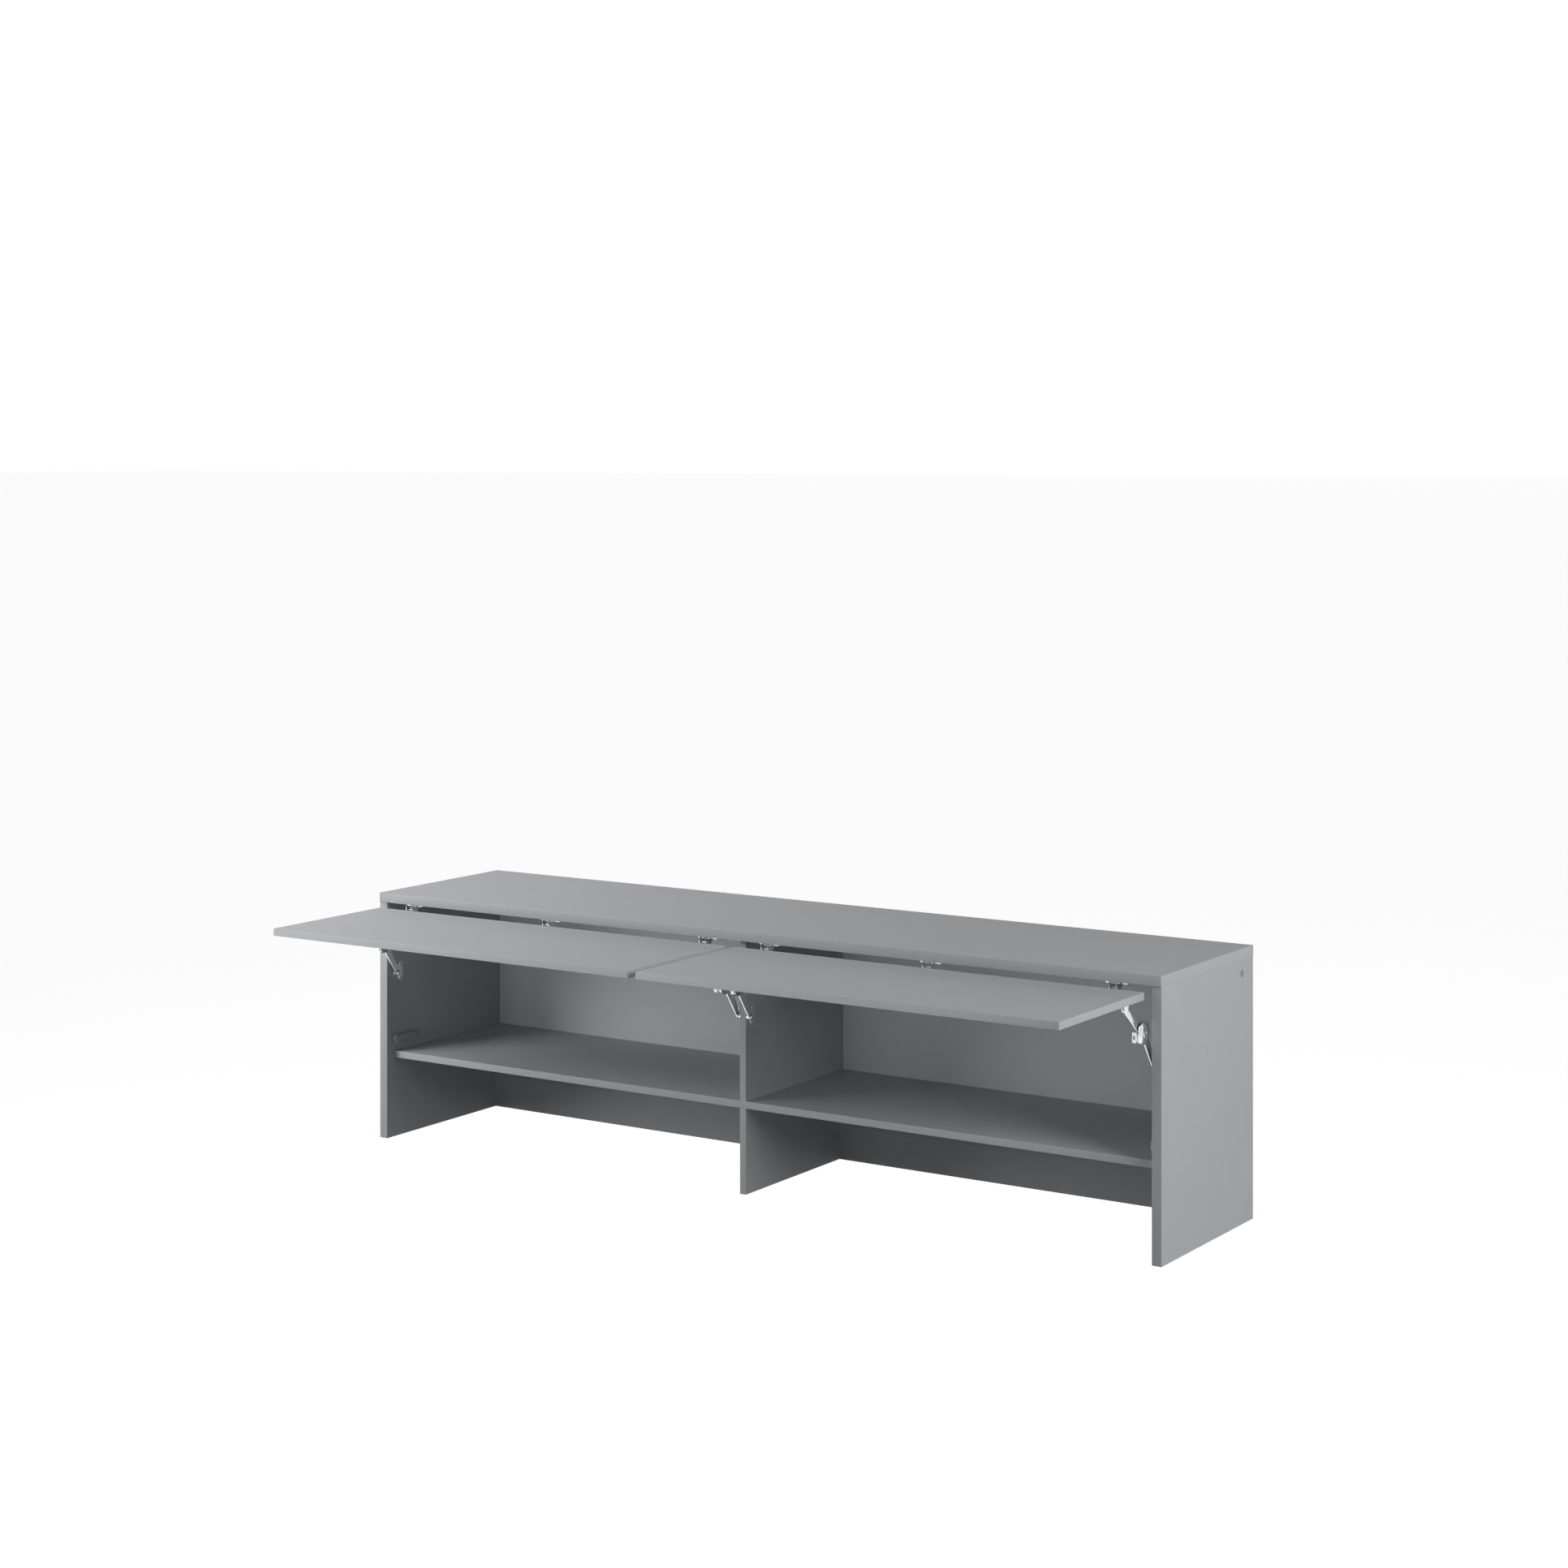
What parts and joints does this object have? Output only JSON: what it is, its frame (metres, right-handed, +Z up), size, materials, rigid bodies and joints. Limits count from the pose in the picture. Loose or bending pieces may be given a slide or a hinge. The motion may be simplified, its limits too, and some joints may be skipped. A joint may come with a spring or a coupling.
{
  "type": "over-bed wall cabinet",
  "caption": "Wide wall cabinet that stands over a fold-away bed: fixed shelf, open bays below and lift-up flap doors on cup hinges with two-arm stays.",
  "frame": {"origin": "underside of the lower divider, at the middle of the cabinet's width and depth; the side panels' lower edges are in the same plane", "axes": "+X to the right seen from the front, +Y to the wall, +Z up; the doors open towards -Y"},
  "size_m": [2.11, 0.866, 0.6],
  "materials": {
    "grey_melamine_board": "matt melamine foil with fine pore, edge band to match",
    "fibreboard_back": "matt lacquered thin fibreboard",
    "nickel_plate": "bright nickel-plated pressed steel",
    "zinc_plated_steel": "zinc-plated steel",
    "die_cast_zinc": "raw die-cast zinc",
    "grey_plastic": "fine-textured moulded grey plastic",
    "beech": "grooved beech dowel"
  },
  "bodies": {
    "cabinet": {"top_panel": "grey_melamine_board", "left_side_panel": "grey_melamine_board", "right_side_panel": "grey_melamine_board", "fixed_shelf": "grey_melamine_board", "upper_divider": "grey_melamine_board", "lower_divider": "grey_melamine_board", "left_back_panel": "fibreboard_back", "right_back_panel": "fibreboard_back", "back_joint_strip": "grey_plastic", "lower_back_board": "grey_melamine_board", "cam_locks": "die_cast_zinc", "cam_bolts": "zinc_plated_steel", "wood_dowels": "beech", "back_panel_nails": "zinc_plated_steel", "cover_caps": "grey_plastic", "left_wall_hanger": "grey_plastic", "right_wall_hanger": "grey_plastic", "left_hinge_plates": "nickel_plate", "right_hinge_plates": "nickel_plate", "hinge_plate_screws": "zinc_plated_steel", "left_hinge_arms": "nickel_plate", "right_hinge_arms": "nickel_plate", "left_outer_stay_plate": "nickel_plate", "left_inner_stay_plate": "nickel_plate", "right_inner_stay_plate": "nickel_plate", "right_outer_stay_plate": "nickel_plate", "stay_plate_screws": "zinc_plated_steel", "left_latch_housing": "grey_plastic", "right_latch_housing": "grey_plastic", "left_latch_spring": "zinc_plated_steel", "right_latch_spring": "zinc_plated_steel", "latch_screws": "zinc_plated_steel"},
    "left_door": {"left_door_panel": "grey_melamine_board", "left_hinge_cups": "nickel_plate", "left_cup_screws": "zinc_plated_steel", "left_outer_stay_bracket": "nickel_plate", "left_inner_stay_bracket": "nickel_plate", "left_bracket_screws": "zinc_plated_steel", "left_latch_strike": "zinc_plated_steel"},
    "left_rear_links": {"left_hinge_rear_links": "zinc_plated_steel"},
    "left_front_links": {"left_hinge_front_links": "zinc_plated_steel"},
    "left_lower_arms": {"left_outer_stay_lower_arm": "nickel_plate", "left_inner_stay_lower_arm": "nickel_plate"},
    "left_upper_arms": {"left_outer_stay_upper_arm": "nickel_plate", "left_inner_stay_upper_arm": "nickel_plate"},
    "left_plunger": {"left_latch_plunger": "grey_plastic"},
    "right_door": {"right_door_panel": "grey_melamine_board", "right_hinge_cups": "nickel_plate", "right_cup_screws": "zinc_plated_steel", "right_inner_stay_bracket": "nickel_plate", "right_outer_stay_bracket": "nickel_plate", "right_bracket_screws": "zinc_plated_steel", "right_latch_strike": "zinc_plated_steel"},
    "right_rear_links": {"right_hinge_rear_links": "zinc_plated_steel"},
    "right_front_links": {"right_hinge_front_links": "zinc_plated_steel"},
    "right_lower_arms": {"right_inner_stay_lower_arm": "nickel_plate", "right_outer_stay_lower_arm": "nickel_plate"},
    "right_upper_arms": {"right_inner_stay_upper_arm": "nickel_plate", "right_outer_stay_upper_arm": "nickel_plate"},
    "right_plunger": {"right_latch_plunger": "grey_plastic"}
  },
  "joints": [
    {"name": "left_door_swing", "type": "hinge", "parent": "cabinet", "child": "left_door", "pos_m": [0, -0.248, 0.587], "axis": [1, 0, 0], "range_deg": [0, 90]},
    {"name": "left_rear_link_turn", "type": "hinge", "parent": "cabinet", "child": "left_rear_links", "pos_m": [0, -0.206, 0.562], "axis": [1, 0, 0], "range_deg": [0, 90]},
    {"name": "left_front_link_turn", "type": "hinge", "parent": "left_door", "child": "left_front_links", "pos_m": [0, -0.284, 0.558], "axis": [1, 0, 0], "range_deg": [-90, 0]},
    {"name": "left_lower_arm_turn", "type": "hinge", "parent": "cabinet", "child": "left_lower_arms", "pos_m": [0, -0.199, 0.4025], "axis": [1, 0, 0], "range_deg": [-89, 0]},
    {"name": "left_upper_arm_turn", "type": "hinge", "parent": "left_door", "child": "left_upper_arms", "pos_m": [0, -0.328, 0.543], "axis": [1, 0, 0], "range_deg": [-83, 0]},
    {"name": "left_plunger_push", "type": "slide", "parent": "cabinet", "child": "left_plunger", "axis": [0, 1, 0], "range_m": [0, 0.0035], "stiffness_N_per_m": 600, "springref_m": -0.004, "deforming": ["left_latch_spring"]},
    {"name": "right_door_swing", "type": "hinge", "parent": "cabinet", "child": "right_door", "pos_m": [0, -0.248, 0.587], "axis": [1, 0, 0], "range_deg": [0, 90]},
    {"name": "right_rear_link_turn", "type": "hinge", "parent": "cabinet", "child": "right_rear_links", "pos_m": [0, -0.206, 0.562], "axis": [1, 0, 0], "range_deg": [0, 90]},
    {"name": "right_front_link_turn", "type": "hinge", "parent": "right_door", "child": "right_front_links", "pos_m": [0, -0.284, 0.558], "axis": [1, 0, 0], "range_deg": [-90, 0]},
    {"name": "right_lower_arm_turn", "type": "hinge", "parent": "cabinet", "child": "right_lower_arms", "pos_m": [0, -0.199, 0.4025], "axis": [1, 0, 0], "range_deg": [-89, 0]},
    {"name": "right_upper_arm_turn", "type": "hinge", "parent": "right_door", "child": "right_upper_arms", "pos_m": [0, -0.328, 0.543], "axis": [1, 0, 0], "range_deg": [-83, 0]},
    {"name": "right_plunger_push", "type": "slide", "parent": "cabinet", "child": "right_plunger", "axis": [0, 1, 0], "range_m": [0, 0.0035], "stiffness_N_per_m": 600, "springref_m": -0.004, "deforming": ["right_latch_spring"]}
  ],
  "couplings": [
    {"joint": "left_rear_link_turn", "follows": "left_door_swing", "ratio": 1},
    {"joint": "left_front_link_turn", "follows": "left_door_swing", "ratio": -1},
    {"joint": "left_lower_arm_turn", "follows": "left_door_swing", "ratio": -0.97826},
    {"joint": "left_upper_arm_turn", "follows": "left_door_swing", "ratio": -0.91068},
    {"joint": "right_rear_link_turn", "follows": "right_door_swing", "ratio": 1},
    {"joint": "right_front_link_turn", "follows": "right_door_swing", "ratio": -1},
    {"joint": "right_lower_arm_turn", "follows": "right_door_swing", "ratio": -0.97826},
    {"joint": "right_upper_arm_turn", "follows": "right_door_swing", "ratio": -0.91068}
  ]
}
